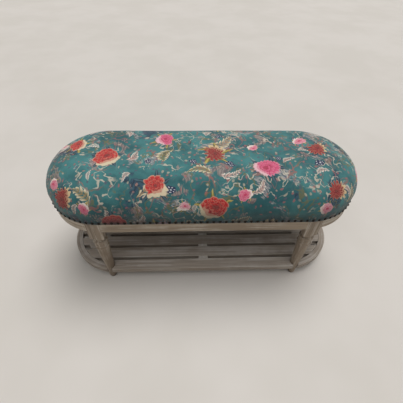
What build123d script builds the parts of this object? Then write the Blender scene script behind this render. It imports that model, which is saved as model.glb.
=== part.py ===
"""Upholstered bench with a racetrack plan: domed pad, nailed cover, turned legs and a slatted shelf.

Millimetres, +Z up, +X along the length, front at -Y, origin on the floor under the middle.
"""

from build123d import *
from math import asin, cos, hypot, pi, sin, sqrt
import os

os.makedirs("parts", exist_ok=True)

# Plan of the seat frame: two straight sides closed by half-round ends
straight_half = 362.0
rail_radius = 215.0
rail_thickness = 24.0
rail_bottom = 320.0
rail_height = 64.0

# Legs: a square block above a turned and tapered shaft
leg_block = 54.0
leg_offset = 28.0
block_drop = 43.0
block_chamfer = 3.0
neck_radius = 21.0
shoulder_radius = 23.5
ring_radius = 27.0
ring_height = 12.0
upper_ring_z = 246.0
lower_ring_z = 214.0
barrel_radius = 25.0
barrel_end_radius = 23.0
shaft_radius = 24.5
foot_radius = 15.0
foot_chamfer = 3.0

# Glides under the feet
glide_radius = 12.0
glide_thickness = 4.0

# Mortise and tenon joints between the rails and the leg blocks
tenon_thickness = 11.0
tenon_height = 40.0
tenon_length = 20.0
tenon_clearance = 0.2
tenon_root = 4.0

# Slatted shelf
shelf_setback = 5.0
shelf_top = 70.0
shelf_thickness = 24.0
stretcher_width = 47.0
slat_gap = 12.0
slat_count = 5
slat_shoulder = 6.0
end_rim_width = 27.0
hole_depth = 21.0
slat_clearance = 0.3
leg_wrap = 10.0
leg_clearance = 0.4
edge_chamfer = 1.5

# Dowels from the shelf frame into the legs
dowel_radius = 4.0
dowel_length = 30.0
dowel_from_axis = 5.0
dowel_clearance = 0.1

# Cross battens under the shelf
batten_width = 40.0
batten_thickness = 15.0
batten_overlap = 30.0
batten_from_leg = 90.0
lug_clearance = 0.2
lug_drop = 0.5

# Screws
screw_radius = 2.0
screw_head_radius = 4.0
screw_head_height = 2.4
shelf_screw_grip = 14.0
board_screw_grip = 22.0
board_screw_pairs = 4
screw_clearance = 0.1

# Seat board and the braces below it
board_thickness = 12.0
board_setback = 1.0
brace_width = 40.0
brace_height = 30.0
brace_clearance = 0.2

# Upholstery: cover, wadding and foam
cover_lap = 20.0
cover_clearance = 0.3
cover_thickness = 2.0
wadding_thickness = 10.0
layer_clearance = 0.3
seat_top = 513.0
pad_bulge = 5.0
bulge_height = 40.0
crown_power = 2.0
side_power = 4.0
crown_flat = 0.5
pad_steps = 9

# Cloth under the seat
dust_setback = 12.0
dust_thickness = 0.8
dust_clearance = 1.0

# Nail heads along the lower edge of the cover
nail_pitch = 21.6
nail_radius = 5.2
nail_top_radius = 2.6
nail_height = 3.4
nail_sides = 8
nail_clearance = 0.05
nail_edge = 1.0

# Places worked out from the driving sizes
rail_top = rail_bottom + rail_height
leg_x = straight_half + leg_offset
leg_y = rail_radius - leg_block / 2
block_outer = leg_x + leg_block / 2
block_inner = leg_x - leg_block / 2
block_bottom = rail_bottom - block_drop
shelf_radius = rail_radius - shelf_setback
shelf_bottom = shelf_top - shelf_thickness
shelf_middle = shelf_top - shelf_thickness / 2
stretcher_inner = shelf_radius - stretcher_width
slat_width = (2 * stretcher_inner - (slat_count + 1) * slat_gap) / slat_count
slat_pitch = slat_width + slat_gap
hole_width = slat_gap + 2 * slat_shoulder
rim_inner = shelf_radius - end_rim_width
shoulder_reach = rim_inner - hole_depth
batten_bottom = shelf_bottom - batten_thickness
end_batten_x = leg_x - batten_from_leg
board_top = rail_top + board_thickness
brace_x = block_inner / 3
band_radius = rail_radius + cover_clearance + cover_thickness
cover_bottom = rail_top - cover_lap
pad_height = seat_top - rail_top
crown_rise = 1 - crown_flat / pad_height
foot_bottom = glide_thickness
corners = {
    "front_right": (1, -1),
    "front_left": (-1, -1),
    "rear_right": (1, 1),
    "rear_left": (-1, 1),
}


def save(piece, name):
    """Label a finished piece and write it as its own file."""
    piece.part.label = name
    export_step(piece.part, f"parts/{name}.step")


def shaft_radius_at(height):
    """Radius of the tapered shaft at a height between the foot and the lower ring."""
    share = (height - foot_bottom - foot_chamfer) / (lower_ring_z - foot_bottom - foot_chamfer)
    return foot_radius + (shaft_radius - foot_radius) * share


def slot(radius, mode=Mode.ADD):
    """Racetrack face of the given end radius around the bench's two end centres."""
    SlotOverall(2 * (straight_half + radius), 2 * radius, mode=mode)


def quartered_slot(radius):
    """The same racetrack with its ends in quarter arcs, for sections that are lofted."""
    diagonal = radius * sqrt(0.5)
    with BuildSketch() as face:
        with BuildLine() as outline:
            for side in (1, -1):
                end = side * straight_half
                Line((-end, -side * radius), (end, -side * radius))
                ThreePointArc(
                    (end, -side * radius),
                    (end + side * diagonal, -side * diagonal),
                    (end + side * radius, 0),
                )
                ThreePointArc(
                    (end + side * radius, 0),
                    (end + side * diagonal, side * diagonal),
                    (end, side * radius),
                )
        make_face(outline.edges())
    return face.sketch


def pad_sections(inset):
    """Heights and end radii of a pad layer: a superellipse dome with a swelling foot."""
    height = pad_height - inset
    sections = []
    for step in range(pad_steps + 1):
        rise = sin(asin(crown_rise) * step / pad_steps)
        share = min(rise * height / bulge_height, 1.0)
        swell = pad_bulge * share * share * (3 - 2 * share)
        side = (1 - rise**crown_power) ** (1 / side_power)
        sections.append((rail_top + rise * height, (band_radius + swell) * side - inset))
    return sections


def along(origin, direction):
    """Plane at origin whose normal is the given direction."""
    return Plane(origin=origin, z_dir=direction)


def save_pair(piece, name):
    """Write a right-hand end piece and its mirror image on the left."""
    save(piece, f"right_{name}")
    with BuildPart() as left_piece:
        add(piece.part)
        mirror(about=Plane.YZ, mode=Mode.REPLACE)
    save(left_piece, f"left_{name}")


def beyond(start):
    """Keep only what lies further out than start on the right-hand end."""
    with Locations((start, 0)):
        Rectangle(rail_radius * 2, rail_radius * 3, align=(Align.MIN, Align.CENTER), mode=Mode.INTERSECT)


def screw_holes(row):
    """Blind holes under a shelf board where the battens are screwed to it."""
    depth = shelf_screw_grip + screw_clearance
    with Locations(*[(x, row, shelf_bottom) for x in batten_places.values()]):
        Cylinder(screw_radius + screw_clearance, depth, align=bottom_up, mode=Mode.SUBTRACT)


def nail_place(share):
    """Location of a nail at a share of the way around the cover's lower band."""
    radius = band_radius + nail_clearance
    half_loop = 2 * straight_half + pi * radius
    side = 1 if share < 0.5 else -1
    distance = (share % 0.5) * 2 * half_loop
    across, outward = -straight_half + distance, (0, -1)
    point = (across, -radius)
    if distance > 2 * straight_half:
        angle = (distance - 2 * straight_half) / radius - pi / 2
        outward = (cos(angle), sin(angle))
        point = (straight_half + radius * outward[0], radius * outward[1])
    origin = (side * point[0], side * point[1], cover_bottom + nail_edge + nail_radius)
    return along(origin, (side * outward[0], side * outward[1], 0)).location


# Direction of the shelf's end rim where it meets a leg, at the front right corner
leg_reach = hypot(leg_offset, leg_y)
rim_direction = (leg_y / leg_reach, leg_offset / leg_reach, 0)
leg_axis_point = (leg_x, -leg_y, shelf_middle)

# Plan line of an end rail where it meets the outer side of a leg block
end_rail_radius = rail_radius - rail_thickness / 2
end_tenon_y = -sqrt(end_rail_radius**2 - (block_outer - straight_half) ** 2)
side_tenon_y = -(rail_radius - rail_thickness / 2)
tenon_z = (rail_bottom + rail_top) / 2

# Places of the slats, battens, screws and nails
leg_hole_radius = shaft_radius_at(shelf_top) + leg_clearance
slat_places = [slat_pitch * (number - (slat_count - 1) / 2) for number in range(slat_count)]
gap_places = [(0, slat_pitch * (number - slat_count / 2)) for number in range(slat_count + 1)]
batten_places = {"left_batten": -end_batten_x, "centre_batten": 0.0, "right_batten": end_batten_x}
stretcher_screw_y = stretcher_inner + batten_overlap / 2
screw_rows = [-stretcher_screw_y, *slat_places, stretcher_screw_y]
screw_spacing = 2 * block_inner / board_screw_pairs
side_screws = [
    (screw_spacing * (number - (board_screw_pairs - 1) / 2), end_rail_radius)
    for number in range(board_screw_pairs)
]
end_screw_x = straight_half + end_rail_radius
board_screw_places = [
    *[(x, side * y) for x, y in side_screws for side in (1, -1)],
    (end_screw_x, 0),
    (-end_screw_x, 0),
]
wadding_inset = cover_thickness + layer_clearance
foam_inset = wadding_inset + wadding_thickness + layer_clearance
nail_count = round((4 * straight_half + 2 * pi * band_radius) / nail_pitch)
bottom_up = (Align.CENTER, Align.CENTER, Align.MIN)
top_down = (Align.CENTER, Align.CENTER, Align.MAX)

# Turned leg, front right corner
with BuildPart() as leg:
    with BuildSketch(Plane((leg_x, -leg_y, 0), x_dir=(1, 0, 0), z_dir=(0, -1, 0))):
        with BuildLine():
            Polyline(
                (0, block_bottom),
                (0, foot_bottom),
                (foot_radius - foot_chamfer, foot_bottom),
                (foot_radius, foot_bottom + foot_chamfer),
                (shaft_radius, lower_ring_z),
            )
            ThreePointArc(
                (shaft_radius, lower_ring_z),
                (ring_radius, lower_ring_z + ring_height / 2),
                (barrel_end_radius, lower_ring_z + ring_height),
            )
            ThreePointArc(
                (barrel_end_radius, lower_ring_z + ring_height),
                (barrel_radius, (lower_ring_z + ring_height + upper_ring_z) / 2),
                (barrel_end_radius, upper_ring_z),
            )
            ThreePointArc(
                (barrel_end_radius, upper_ring_z),
                (ring_radius, upper_ring_z + ring_height / 2),
                (neck_radius, upper_ring_z + ring_height),
            )
            RadiusArc(
                (neck_radius, upper_ring_z + ring_height),
                (shoulder_radius, block_bottom),
                block_bottom - upper_ring_z,
            )
            Line((shoulder_radius, block_bottom), (0, block_bottom))
        make_face()
    revolve(axis=Axis((leg_x, -leg_y, 0), (0, 0, 1)))
    with BuildSketch(Plane.XY.offset(block_bottom)):
        with Locations((leg_x, -leg_y)):
            Rectangle(leg_block, leg_block)
        slot(rail_radius, mode=Mode.INTERSECT)
    extrude(amount=rail_top - block_bottom)
    lower_edges = leg.edges().filter_by_position(Axis.Z, block_bottom, block_bottom)
    chamfer(lower_edges.filter_by(GeomType.LINE), block_chamfer)
    # Mortises for the side rail and the end rail
    mortise = (
        tenon_length + tenon_clearance,
        tenon_thickness + 2 * tenon_clearance,
        tenon_height + 2 * tenon_clearance,
    )
    with Locations((block_inner, side_tenon_y, tenon_z)):
        Box(*mortise, align=(Align.MIN, Align.CENTER, Align.CENTER), mode=Mode.SUBTRACT)
    with Locations((block_outer, end_tenon_y, tenon_z)):
        Box(*mortise, align=(Align.MAX, Align.CENTER, Align.CENTER), mode=Mode.SUBTRACT)
    # Dowel holes for the shelf stretcher and the shelf's end rim
    for direction in ((-1, 0, 0), rim_direction):
        with BuildSketch(along(leg_axis_point, direction).offset(dowel_from_axis - dowel_clearance)):
            Circle(dowel_radius + dowel_clearance)
        extrude(amount=dowel_length, mode=Mode.SUBTRACT)

for corner, (side_x, side_y) in corners.items():
    with BuildPart() as corner_leg:
        add(leg.part)
        if side_x < 0:
            mirror(about=Plane.YZ, mode=Mode.REPLACE)
        if side_y > 0:
            mirror(about=Plane.XZ, mode=Mode.REPLACE)
    save(corner_leg, f"{corner}_leg")

with BuildPart() as foot_glides:
    with BuildSketch():
        with Locations([(x * leg_x, y * leg_y) for x, y in corners.values()]):
            Circle(glide_radius)
    extrude(amount=glide_thickness)
save(foot_glides, "foot_glides")

# Straight rails between the leg blocks, with a tenon at each end
for name, side in (("front_rail", -1), ("rear_rail", 1)):
    with BuildPart() as side_rail:
        with BuildSketch(Plane.XY.offset(rail_bottom)):
            with Locations((0, side * (rail_radius - rail_thickness / 2))):
                Rectangle(2 * block_inner, rail_thickness)
            slot(rail_radius, mode=Mode.INTERSECT)
        extrude(amount=rail_height)
        with Locations((0, -side * side_tenon_y, tenon_z)):
            Box(2 * (block_inner + tenon_length), tenon_thickness, tenon_height)
        with Locations(*[(x, side * y, rail_top) for x, y in side_screws]):
            Hole(screw_radius + screw_clearance, board_screw_grip + screw_clearance)
    save(side_rail, name)

# Half-round end rails, with a tenon into the leg block at each end
with BuildPart() as end_rail:
    with BuildSketch(Plane.XY.offset(rail_bottom)):
        slot(rail_radius)
        slot(rail_radius - rail_thickness, mode=Mode.SUBTRACT)
        beyond(block_outer)
    extrude(amount=rail_height)
    with Locations(*[(block_outer - tenon_length, side * end_tenon_y, tenon_z) for side in (1, -1)]):
        Box(
            tenon_length + tenon_root,
            tenon_thickness,
            tenon_height,
            align=(Align.MIN, Align.CENTER, Align.CENTER),
        )
    with Locations((end_screw_x, 0, rail_top)):
        Hole(screw_radius + screw_clearance, board_screw_grip + screw_clearance)
save_pair(end_rail, "end_rail")

# Shelf stretchers between the legs, front and rear
for name, side in (("front_stretcher", -1), ("rear_stretcher", 1)):
    with BuildPart() as stretcher:
        with BuildSketch(Plane.XY.offset(shelf_bottom)):
            with Locations((0, side * (stretcher_inner + shelf_radius) / 2)):
                Rectangle(2 * (leg_x - leg_wrap), shelf_radius - stretcher_inner)
            slot(shelf_radius, mode=Mode.INTERSECT)
            with Locations((leg_x, side * leg_y), (-leg_x, side * leg_y)):
                Circle(leg_hole_radius, mode=Mode.SUBTRACT)
        extrude(amount=shelf_thickness)
        chamfer(stretcher.faces().sort_by(Axis.Z)[-1].edges(), edge_chamfer)
        for end in (1, -1):
            origin = (end * leg_x, side * leg_y, shelf_middle)
            with BuildSketch(along(origin, (-end, 0, 0)).offset(dowel_from_axis)):
                Circle(dowel_radius + dowel_clearance)
            extrude(amount=dowel_length + dowel_clearance, mode=Mode.SUBTRACT)
        screw_holes(side * stretcher_screw_y)
    save(stretcher, name)

# Half-round rims that close the shelf's ends
with BuildPart() as shelf_rim:
    with BuildSketch(Plane.XY.offset(shelf_bottom)):
        slot(shelf_radius)
        slot(rim_inner, mode=Mode.SUBTRACT)
        beyond(leg_x + leg_wrap)
        with Locations((leg_x, leg_y), (leg_x, -leg_y)):
            Circle(leg_hole_radius, mode=Mode.SUBTRACT)
    extrude(amount=shelf_thickness)
    rim_arcs = shelf_rim.faces().sort_by(Axis.Z)[-1].edges().sort_by(SortBy.LENGTH)[-2:]
    chamfer(rim_arcs, edge_chamfer)
    for side in (1, -1):
        origin = (leg_x, -side * leg_y, shelf_middle)
        direction = (rim_direction[0], side * rim_direction[1], 0)
        with BuildSketch(along(origin, direction).offset(dowel_from_axis)):
            Circle(dowel_radius + dowel_clearance)
        extrude(amount=dowel_length + dowel_clearance, mode=Mode.SUBTRACT)
save_pair(shelf_rim, "shelf_rim")

# Slats: gaps between the legs, ends that meet, and tongues across the holes to the end rims
for number, slat_y in enumerate(slat_places, start=1):
    with BuildPart() as slat:
        for reach, gap, gap_half in (
            (shoulder_reach, slat_gap, block_outer),
            (rim_inner - slat_clearance, hole_width, straight_half + rim_inner),
        ):
            with BuildSketch(Plane.XY.offset(shelf_bottom)):
                with Locations((0, slat_y)):
                    Rectangle(2 * (straight_half + reach), slat_pitch - slat_clearance)
                slot(reach, mode=Mode.INTERSECT)
                with Locations(*gap_places[1:-1]):
                    Rectangle(2 * gap_half, gap, mode=Mode.SUBTRACT)
                with Locations(gap_places[0], gap_places[-1]):
                    Rectangle(2 * (straight_half + rim_inner), slat_gap, mode=Mode.SUBTRACT)
        extrude(amount=shelf_thickness)
        chamfer(slat.faces().sort_by(Axis.Z)[-1].edges(), edge_chamfer)
        screw_holes(slat_y)
    save(slat, f"shelf_slat_{number}")

# Cross battens under the shelf: the middle one fills the gaps with lugs
for name, batten_x in batten_places.items():
    with BuildPart() as batten:
        with BuildSketch(Plane.XY.offset(batten_bottom)):
            with Locations((batten_x, 0)):
                Rectangle(batten_width, 2 * (stretcher_inner + batten_overlap))
        extrude(amount=batten_thickness)
        if name == "centre_batten":
            with BuildSketch(Plane.XY.offset(shelf_bottom)):
                with Locations(*gap_places):
                    Rectangle(batten_width, slat_gap - 2 * lug_clearance)
            extrude(amount=shelf_thickness - lug_drop)
        with Locations(*[(batten_x, y, shelf_bottom) for y in screw_rows]):
            Hole(screw_radius + screw_clearance, batten_thickness)
    save(batten, name)

with BuildPart() as shelf_screws:
    with Locations(*[(x, y, batten_bottom) for x in batten_places.values() for y in screw_rows]):
        Cylinder(screw_radius, batten_thickness + shelf_screw_grip, align=bottom_up)
        Cylinder(screw_head_radius, screw_head_height, align=top_down)
save(shelf_screws, "shelf_screws")

with BuildPart() as shelf_dowels:
    for side_x, side_y in corners.values():
        origin = (side_x * leg_x, side_y * leg_y, shelf_middle)
        to_rim = (side_x * rim_direction[0], -side_y * rim_direction[1], 0)
        for direction in ((-side_x, 0, 0), to_rim):
            with BuildSketch(along(origin, direction).offset(dowel_from_axis)):
                Circle(dowel_radius)
            extrude(amount=dowel_length)
save(shelf_dowels, "shelf_dowels")

# Seat board on the rails, with its screws and two braces
with BuildPart() as seat_board:
    with BuildSketch(Plane.XY.offset(rail_top)):
        slot(rail_radius - board_setback)
    extrude(amount=board_thickness)
    with Locations(*[(x, y, board_top) for x, y in board_screw_places]):
        CounterSinkHole(screw_radius + screw_clearance, screw_head_radius + screw_clearance)
save(seat_board, "seat_board")

with BuildPart() as board_screws:
    with Locations(*[(x, y, board_top) for x, y in board_screw_places]):
        Cylinder(screw_radius, board_thickness + board_screw_grip, align=top_down)
        Cone(screw_radius, screw_head_radius, screw_head_radius - screw_radius, align=top_down)
save(board_screws, "board_screws")

for name, side in (("left_brace", -1), ("right_brace", 1)):
    with BuildPart() as brace:
        with BuildSketch(Plane.XY.offset(rail_top - brace_height)):
            with Locations((side * brace_x, 0)):
                Rectangle(brace_width, 2 * (rail_radius - rail_thickness - brace_clearance))
        extrude(amount=brace_height)
    save(brace, name)

with BuildPart() as dust_cover:
    with BuildSketch(Plane.XY.offset(rail_bottom - dust_thickness)):
        slot(rail_radius - dust_setback)
        with Locations(*[(x * leg_x, y * leg_y) for x, y in corners.values()]):
            notch = leg_block + 2 * dust_clearance
            Rectangle(notch, notch, mode=Mode.SUBTRACT)
    extrude(amount=dust_thickness)
save(dust_cover, "dust_cover")

# Domed pad: foam, wadding and the fabric cover, each a layer over the last
with BuildPart() as seat_foam:
    for height, radius in pad_sections(foam_inset):
        with BuildSketch(Plane.XY.offset(height)):
            add(quartered_slot(radius))
    loft()
    split(bisect_by=Plane.XY.offset(board_top))
save(seat_foam, "seat_foam")

with BuildPart() as wadding:
    for inset, mode in ((wadding_inset, Mode.ADD), (wadding_inset + wadding_thickness, Mode.SUBTRACT)):
        for height, radius in pad_sections(inset):
            with BuildSketch(Plane.XY.offset(height)):
                add(quartered_slot(radius))
        loft(mode=mode)
    split(bisect_by=Plane.XY.offset(board_top))
save(wadding, "wadding")

with BuildPart() as seat_cover:
    for inset, mode in ((0.0, Mode.ADD), (cover_thickness, Mode.SUBTRACT)):
        with BuildSketch(Plane.XY.offset(cover_bottom)):
            add(quartered_slot(band_radius - inset))
        extrude(amount=cover_lap, mode=mode)
        for height, radius in pad_sections(inset):
            with BuildSketch(Plane.XY.offset(height)):
                add(quartered_slot(radius))
        loft(mode=mode)
save(seat_cover, "seat_cover")

# Nail heads in one row around the cover's lower band
with BuildPart() as nail_head:
    for height, radius in ((0, nail_radius), (nail_height, nail_top_radius)):
        with BuildSketch(Plane.XY.offset(height)):
            RegularPolygon(radius, nail_sides)
    loft(ruled=True)

with BuildPart() as upholstery_nails:
    with Locations(*[nail_place(number / nail_count) for number in range(nail_count)]):
        add(nail_head.part)
save(upholstery_nails, "upholstery_nails")
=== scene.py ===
"""Upholstered bench with half-round ends: printed pad, nail row, washed wooden frame and slatted shelf."""

from math import cos, pi, radians, sin

import bmesh
import bpy
import numpy as np
from mathutils import Matrix, Vector


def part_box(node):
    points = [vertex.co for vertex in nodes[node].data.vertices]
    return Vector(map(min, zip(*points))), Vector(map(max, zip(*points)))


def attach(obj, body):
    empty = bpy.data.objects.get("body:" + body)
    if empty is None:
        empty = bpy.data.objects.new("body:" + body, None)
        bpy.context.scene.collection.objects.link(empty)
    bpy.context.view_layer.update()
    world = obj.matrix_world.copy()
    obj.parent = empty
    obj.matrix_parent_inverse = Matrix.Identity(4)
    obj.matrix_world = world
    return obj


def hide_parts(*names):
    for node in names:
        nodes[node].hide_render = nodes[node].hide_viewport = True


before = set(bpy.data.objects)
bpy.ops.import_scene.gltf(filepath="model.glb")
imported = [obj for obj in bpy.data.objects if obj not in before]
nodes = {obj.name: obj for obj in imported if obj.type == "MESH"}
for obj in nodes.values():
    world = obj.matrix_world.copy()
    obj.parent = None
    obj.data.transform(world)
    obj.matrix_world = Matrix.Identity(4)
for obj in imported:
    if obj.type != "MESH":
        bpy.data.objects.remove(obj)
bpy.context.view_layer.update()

# Sizes taken from the frame, in metres
COVER_RISE = 0.0005
BAND_CLEARANCE = 0.0023
END_RADIUS = -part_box("front_rail")[0][1]
END_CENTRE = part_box("right_end_rail")[1][0] - END_RADIUS
RAIL_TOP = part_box("front_rail")[1][2]
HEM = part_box("seat_cover")[0][2]
SEAT_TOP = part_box("seat_cover")[1][2] + COVER_RISE
BAND_RADIUS = END_RADIUS + BAND_CLEARANCE
LEG_LOW, LEG_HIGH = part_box("front_right_leg")
LEG_X, LEG_Y = (LEG_LOW[0] + LEG_HIGH[0]) / 2, -(LEG_LOW[1] + LEG_HIGH[1]) / 2


def surface(name, points, quads, extra=()):
    """Smooth mesh object from an array of points, an array of four-cornered faces and any other faces."""
    mesh = bpy.data.meshes.new(name)
    mesh.from_pydata(points.reshape(-1, 3).tolist(), [], quads.reshape(-1, 4).tolist() + list(extra))
    mesh.polygons.foreach_set("use_smooth", np.full(len(mesh.polygons), True))
    piece = bpy.data.objects.new(name, mesh)
    bpy.context.scene.collection.objects.link(piece)
    return piece


def net_faces(rows, columns, wrap=False):
    """Corner numbers of the cells of a grid of points, closed round its columns if wrap is set."""
    number = np.arange(rows * columns).reshape(rows, columns)
    if wrap:
        number = np.concatenate([number, number[:, :1]], axis=1)
    return np.stack([number[:-1, :-1], number[1:, :-1], number[1:, 1:], number[:-1, 1:]], axis=-1)


# Padded seat

BULGE, BULGE_HEIGHT = 0.005, 0.040
DOME_SAMPLES, BAND_SAMPLES = 1500, 40
STRAIGHT_CELLS, RINGS = 160, 60
CLOTH_THICKNESS = 0.002
CLOTH_PRESSURE = 4
PINNED_HEIGHT = 0.026
SETTLING_STEPS = 20
MOST_SWELL = 0.003
NAIL_COUNT = 130
PUCKER_DEPTH, PUCKER_HEIGHT, PUCKER_START = 0.0012, 0.012, 0.006
PLEAT_DEPTH, PLEAT_FADE, PLEAT_START, PLEAT_INTO_END = 0.0007, 0.045, 0.02, 0.06
UNEVEN_DEPTH, UNEVEN_START = 0.0012, 0.15

# Pleats round the seat: how many, their share of the depth and the angle that they start at
PLEATS = ((61, 1.0, 0.0), (38, 0.7, 1.3), (87, 0.5, 0.4))


def racetrack_net(straight, rings):
    """Net over the racetrack plan: straight cells between the end centres and rings of cells around them.

    A cell's ring is its larger step from the middle line, so the half-round ends have no pole. Returns
    each point's foot on the middle line, its outward direction, its angle and its share of the rings.
    """
    half = straight / 2
    along = np.arange(-half - rings, half + rings + 1)
    across = np.arange(-rings, rings + 1.0)
    a, b = np.meshgrid(along, across, indexing="ij")
    past = np.clip(np.abs(a) - half, 0, None)
    beside = np.abs(b)
    low = pi / 4 * b / np.maximum(past, 1e-9)
    high = np.sign(b) * (pi / 2 - pi / 4 * past / np.maximum(beside, 1e-9))
    angle = np.where((past >= beside) & (past > 0), low, high)
    foot = np.clip(a, -half, half) * END_CENTRE / half
    return foot, np.sign(a) * np.cos(angle), np.sin(angle), angle, np.maximum(past, beside) / rings


def pad_profile():
    """Radius and height of the pad from its ridge down to its hem, with the distance along the cloth.

    A superellipse dome whose foot swells by a smooth step, then a straight band down to the hem.
    """
    turn = np.linspace(pi / 2, 0, DOME_SAMPLES)
    rise = np.sin(turn)
    tall = SEAT_TOP - RAIL_TOP
    share = np.clip(rise * tall / BULGE_HEIGHT, 0, 1)
    radius = (BAND_RADIUS + BULGE * share**2 * (3 - 2 * share)) * np.sqrt(np.abs(np.cos(turn)))
    height = RAIL_TOP + rise * tall
    radius = np.append(radius, np.full(BAND_SAMPLES, BAND_RADIUS))
    height = np.append(height, np.linspace(RAIL_TOP, HEM, BAND_SAMPLES + 1)[1:])
    distance = np.concatenate([[0], np.cumsum(np.hypot(np.diff(radius), np.diff(height)))])
    return radius, height, distance


def pad_points(straight, rings):
    """Points of the pad on a racetrack net, with their normals, cloth places, loop places and heights.

    The cloth place is the flat cloth's own measure: the foot on the middle line plus the distance down
    the profile in the outward direction. The loop place is the share of the way round the seat, and the
    height is the distance along the cloth from the hem.
    """
    foot, out_x, out_y, angle, ring = racetrack_net(straight, rings)
    radius, height, distance = pad_profile()
    down = ring * distance[-1]
    r = np.interp(down, distance, radius)
    z = np.interp(down, distance, height)
    slope = np.arctan2(np.gradient(height, distance), np.gradient(radius, distance))
    lean = np.interp(down, distance, slope)
    points = np.stack([foot + out_x * r, out_y * r, z], axis=-1)
    normals = np.stack([-np.sin(lean) * out_x, -np.sin(lean) * out_y, np.cos(lean)], axis=-1)
    cloth = np.stack([foot + out_x * down, out_y * down], axis=-1)
    side = 2 * END_CENTRE
    bend = pi * BAND_RADIUS
    front = foot + END_CENTRE + np.where(out_x > 0, BAND_RADIUS * (angle + pi / 2), 0)
    rear = side + bend + END_CENTRE - foot + np.where(out_x < 0, BAND_RADIUS * (pi / 2 - angle), 0)
    on_front = np.where(np.abs(out_x) > 1e-6, out_x > 0, out_y < 0)
    loop = np.where(on_front, front, rear) / (2 * side + 2 * bend)
    return points, normals, cloth, loop, distance[-1] - down


def settled(points, normals, above):
    """How far the cloth moves, point by point, when a cloth simulation inflates the pad a little.

    The hem is pinned, and a point only moves outwards, the most on the top and less on the sides.
    """
    piece = surface("pad_while_it_settles", points, net_faces(*points.shape[:2]))
    pins = piece.vertex_groups.new(name="hem")
    pins.add(np.flatnonzero(above.ravel() < PINNED_HEIGHT).tolist(), 1.0, "REPLACE")
    cloth = piece.modifiers.new("cloth", "CLOTH")
    cloth.settings.quality = 6
    cloth.settings.mass = 0.3
    cloth.settings.tension_stiffness = 40
    cloth.settings.compression_stiffness = 40
    cloth.settings.shear_stiffness = 20
    cloth.settings.bending_stiffness = 2
    cloth.settings.use_pressure = True
    cloth.settings.uniform_pressure_force = CLOTH_PRESSURE
    cloth.settings.vertex_group_mass = "hem"
    cloth.settings.effector_weights.gravity = 0
    scene = bpy.context.scene
    for moment in range(1, SETTLING_STEPS + 1):
        scene.frame_set(moment)
    worn = piece.evaluated_get(bpy.context.evaluated_depsgraph_get()).to_mesh()
    moved = np.empty(len(worn.vertices) * 3)
    worn.vertices.foreach_get("co", moved)
    scene.frame_set(1)
    moved = moved.reshape(points.shape) - points
    bpy.data.objects.remove(piece)
    outward = np.clip((moved * normals).sum(axis=-1, keepdims=True), 0, MOST_SWELL)
    return outward * normals * np.clip(normals[..., 2:], 0, 1)


def finer(field):
    """The same field on a net of twice as many cells each way, by averaging neighbours."""
    for axis in (0, 1):
        field = np.moveaxis(field, axis, 0)
        doubled = np.repeat(field, 2, axis=0)[:-1]
        doubled[1::2] = (field[:-1] + field[1:]) / 2
        field = np.moveaxis(doubled, 0, axis)
    return field


def puckers(loop, above):
    """Cosine of the nail spacing, inwards at each nail, that fades with the distance from the nail row."""
    near = np.exp(-(((above - PUCKER_HEIGHT) / PUCKER_HEIGHT) ** 2)) * np.clip(above / PUCKER_START, 0, 1)
    return -PUCKER_DEPTH * np.cos(2 * pi * NAIL_COUNT * loop) * near


def pleats(x, loop, above):
    """Sines of the loop place on the half-round ends, strongest just above the nails."""
    wave = sum(share * np.sin(2 * pi * count * loop + start) for count, share, start in PLEATS)
    at_end = np.clip((np.abs(x) - END_CENTRE) / PLEAT_INTO_END, 0, 1)
    return PLEAT_DEPTH * wave * at_end * np.clip(above / PLEAT_START, 0, 1) * np.exp(-above / PLEAT_FADE)


def unevenness(x, y, above):
    """Hand-stuffed top: a product of two slow sines and a weaker quick one, growing away from the hem."""
    slow = np.sin(9.1 * x + 4.0 * y + 0.7) * np.sin(6.3 * x - 11.0 * y + 1.9)
    quick = 0.4 * np.sin(17.0 * x + 13.0 * y)
    return UNEVEN_DEPTH * (slow + quick) * np.clip(above / UNEVEN_START, 0, 1)


def padded_cover():
    """Cloth cover of the pad: the settled dome with puckers at the nails and easy pleats at the ends."""
    points, normals, cloth, loop, above = pad_points(STRAIGHT_CELLS, RINGS)
    coarse, coarse_normals, _, _, coarse_above = pad_points(STRAIGHT_CELLS // 2, RINGS // 2)
    points = points + finer(settled(coarse, coarse_normals, coarse_above))
    x, y = points[..., 0], points[..., 1]
    shift = puckers(loop, above) + pleats(x, loop, above) + unevenness(x, y, above)
    points = points + normals * shift[..., None]
    piece = surface("printed_cover", points, net_faces(*points.shape[:2]))
    corner = np.empty(len(piece.data.loops), dtype=np.int64)
    piece.data.loops.foreach_get("vertex_index", corner)
    piece.data.uv_layers.new(name="cloth").data.foreach_set("uv", cloth.reshape(-1, 2)[corner].ravel())
    wall = piece.modifiers.new("cloth thickness", "SOLIDIFY")
    wall.thickness = CLOTH_THICKNESS
    wall.offset = -1
    return piece


# Nail heads

NAIL_RADIUS, NAIL_DOME, NAIL_SIDES = 0.0052, 0.0034, 10
NAIL_ABOVE_HEM = 0.001
NAIL_CLEARANCE = 0.00005
NAIL_CROWN = 0.96
NAIL_RINGS = np.array([0, 0.25, 0.55, 0.8, 1.0])


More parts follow.
